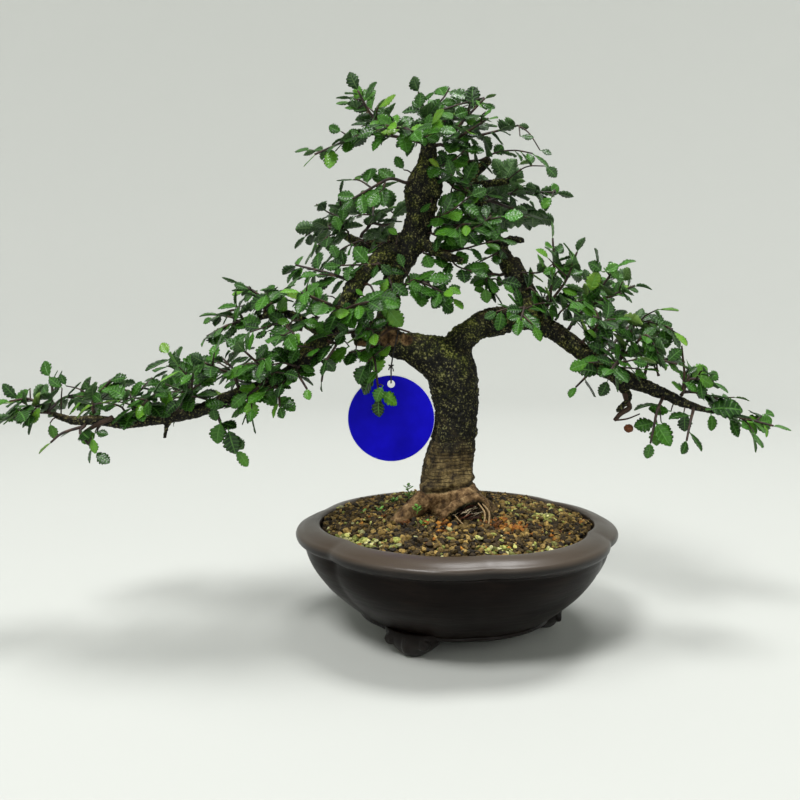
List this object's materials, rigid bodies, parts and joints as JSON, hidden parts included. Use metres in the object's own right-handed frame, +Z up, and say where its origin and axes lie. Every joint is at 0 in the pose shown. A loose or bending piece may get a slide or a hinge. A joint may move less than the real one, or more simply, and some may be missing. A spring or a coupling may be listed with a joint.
{
  "type": "chinese elm bonsai",
  "caption": "Chinese elm bonsai with a bent trunk and two long leafy limbs, in a round lobed clay pot on low feet, with a plain round tag on a thread.",
  "frame": {"origin": "middle of the whole tree's footprint, on the surface that the pot's feet stand on", "axes": "+X to the right of the front view, along the spread of the two long limbs; +Y to the back; +Z up"},
  "size_m": [0.4591, 0.1872, 0.3213],
  "materials": {
    "clay": "unglazed fired clay, dark brown, satin, lighter on the lip",
    "soil": "coarse granular bonsai soil with patches of moss and lichen",
    "bark": "living elm bark, grey brown at the base, darker above, fine cracks",
    "leaf": "toothed elm leaves, satin, dark green with paler young leaves",
    "tag": "plain blue plastic disc with a thin white edge",
    "thread": "thin black thread",
    "drain_mesh": "black plastic drain mesh"
  },
  "bodies": {
    "root": {"drain_mesh_left": "drain_mesh", "drain_mesh_right": "drain_mesh", "pot": "clay", "soil": "soil", "spray_back_end": "leaf", "spray_back_top": "leaf", "spray_crown_front": "leaf", "spray_crown_left": "leaf", "spray_crown_right": "leaf", "spray_crown_top": "leaf", "spray_end_hang": "leaf", "spray_end_low": "leaf", "spray_end_tip": "leaf", "spray_end_up": "leaf", "spray_fork_hang": "leaf", "spray_fork_out": "leaf", "spray_leader_left": "leaf", "spray_leader_right": "leaf", "spray_left_a": "leaf", "spray_left_b": "leaf", "spray_left_c": "leaf", "spray_left_c_back": "leaf", "spray_left_d": "leaf", "spray_left_e": "leaf", "spray_left_f": "leaf", "spray_left_hang": "leaf", "spray_left_tip": "leaf", "spray_left_under": "leaf", "spray_right_a": "leaf", "spray_right_a_front": "leaf", "spray_right_b": "leaf", "spray_right_c": "leaf", "spray_right_c_back": "leaf", "spray_right_c_front": "leaf", "spray_right_d": "leaf", "spray_right_d_front": "leaf", "spray_right_under": "leaf", "spray_riser_back": "leaf", "spray_riser_front": "leaf", "spray_riser_low": "leaf", "spray_riser_right": "leaf", "spray_riser_top": "leaf", "spray_riser_window": "leaf", "spray_shoot_up": "leaf", "spray_shoulder_fall": "leaf", "spray_shoulder_front": "leaf", "spray_shoulder_low": "leaf", "spray_shoulder_out": "leaf", "spray_upper_low": "leaf", "spray_upper_out": "leaf", "spray_upper_top": "leaf", "spray_window": "leaf", "tag": "tag", "tag_thread": "thread", "wood": "bark"}
  },
  "joints": []
}
